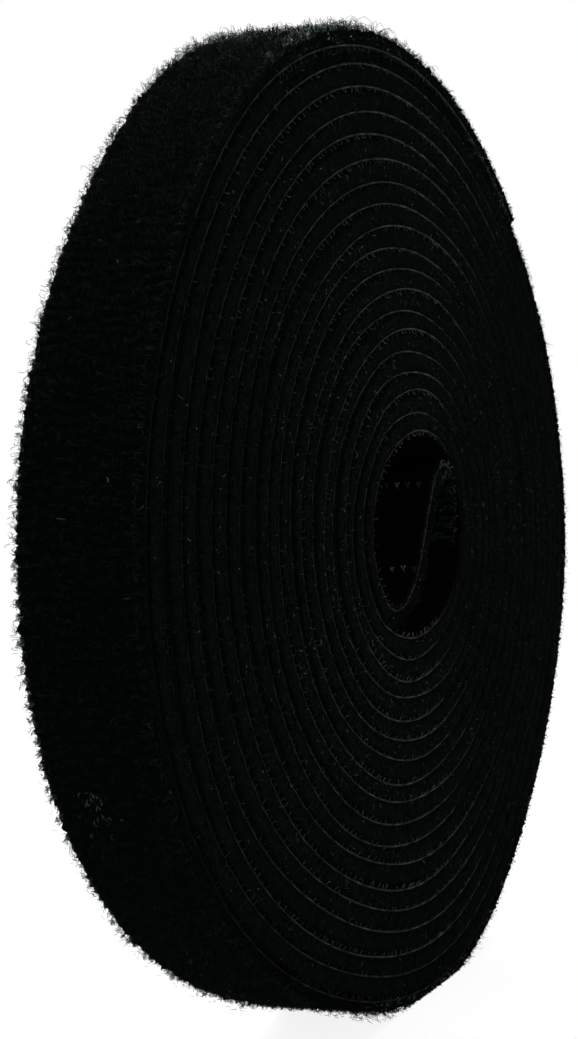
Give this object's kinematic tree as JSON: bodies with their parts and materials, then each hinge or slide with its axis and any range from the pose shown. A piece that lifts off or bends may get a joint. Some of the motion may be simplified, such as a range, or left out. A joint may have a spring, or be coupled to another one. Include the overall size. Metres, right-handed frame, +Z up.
{
  "type": "hook and loop tape roll",
  "caption": "Coreless roll of black back-to-back hook-and-loop tape standing on its rim; its free outer end peels off in hinged links and its inner tail flexes in the bore.",
  "frame": {"origin": "on the floor flat, under the roll's axis and halfway across the tape's width", "axes": "+Z up, Y along the roll's axis with the pictured face towards -Y, +X to that face's right"},
  "size_m": [0.0848, 0.01, 0.0851],
  "materials": {
    "hook_film": "matte moulded film",
    "loop_fabric": "napped loop pile"
  },
  "bodies": {
    "roll": {"hook_film_wound": "hook_film", "loop_fabric_wound": "loop_fabric"},
    "outer_end_1": {"hook_film_peel_1": "hook_film", "loop_fabric_peel_1": "loop_fabric"},
    "outer_end_2": {"hook_film_peel_2": "hook_film", "loop_fabric_peel_2": "loop_fabric"},
    "outer_end_3": {"hook_film_peel_3": "hook_film", "loop_fabric_peel_3": "loop_fabric"},
    "outer_end_4": {"hook_film_peel_4": "hook_film", "loop_fabric_peel_4": "loop_fabric"},
    "outer_end_5": {"hook_film_peel_5": "hook_film", "loop_fabric_peel_5": "loop_fabric"},
    "outer_end_6": {"hook_film_peel_6": "hook_film", "loop_fabric_peel_6": "loop_fabric"},
    "tail_leg": {"hook_film_tail": "hook_film", "loop_fabric_tail": "loop_fabric"},
    "tail_tip": {"hook_film_tip": "hook_film", "loop_fabric_tip": "loop_fabric"}
  },
  "joints": [
    {"name": "peel_hinge_1", "type": "hinge", "parent": "roll", "child": "outer_end_1", "pos_m": [-0.0211, 0, 0.07852], "axis": [0, -1, 0], "range_deg": [0, 25], "stiffness_Nm_per_rad": 0.0001},
    {"name": "peel_hinge_2", "type": "hinge", "parent": "outer_end_1", "child": "outer_end_2", "pos_m": [-0.01306, 0, 0.08217], "axis": [0, -1, 0], "range_deg": [0, 25], "stiffness_Nm_per_rad": 0.0001},
    {"name": "peel_hinge_3", "type": "hinge", "parent": "outer_end_2", "child": "outer_end_3", "pos_m": [-0.00443, 0, 0.08407], "axis": [0, -1, 0], "range_deg": [0, 25], "stiffness_Nm_per_rad": 0.0001},
    {"name": "peel_hinge_4", "type": "hinge", "parent": "outer_end_3", "child": "outer_end_4", "pos_m": [0.00443, 0, 0.08414], "axis": [0, -1, 0], "range_deg": [0, 25], "stiffness_Nm_per_rad": 0.0001},
    {"name": "peel_hinge_5", "type": "hinge", "parent": "outer_end_4", "child": "outer_end_5", "pos_m": [0.01312, 0, 0.08235], "axis": [0, -1, 0], "range_deg": [0, 25], "stiffness_Nm_per_rad": 0.0001},
    {"name": "peel_hinge_6", "type": "hinge", "parent": "outer_end_5", "child": "outer_end_6", "pos_m": [0.02126, 0, 0.0788], "axis": [0, -1, 0], "range_deg": [0, 25], "stiffness_Nm_per_rad": 0.0001},
    {"name": "tail_sway", "type": "hinge", "parent": "roll", "child": "tail_leg", "pos_m": [-0.00495, 0, 0.03482], "axis": [0, -1, 0], "range_deg": [-4, 10], "stiffness_Nm_per_rad": 0.0005},
    {"name": "tip_flex", "type": "hinge", "parent": "tail_leg", "child": "tail_tip", "pos_m": [0.0063, 0, 0.04772], "axis": [0, 1, 0], "range_deg": [-2, 18], "stiffness_Nm_per_rad": 0.0001}
  ]
}
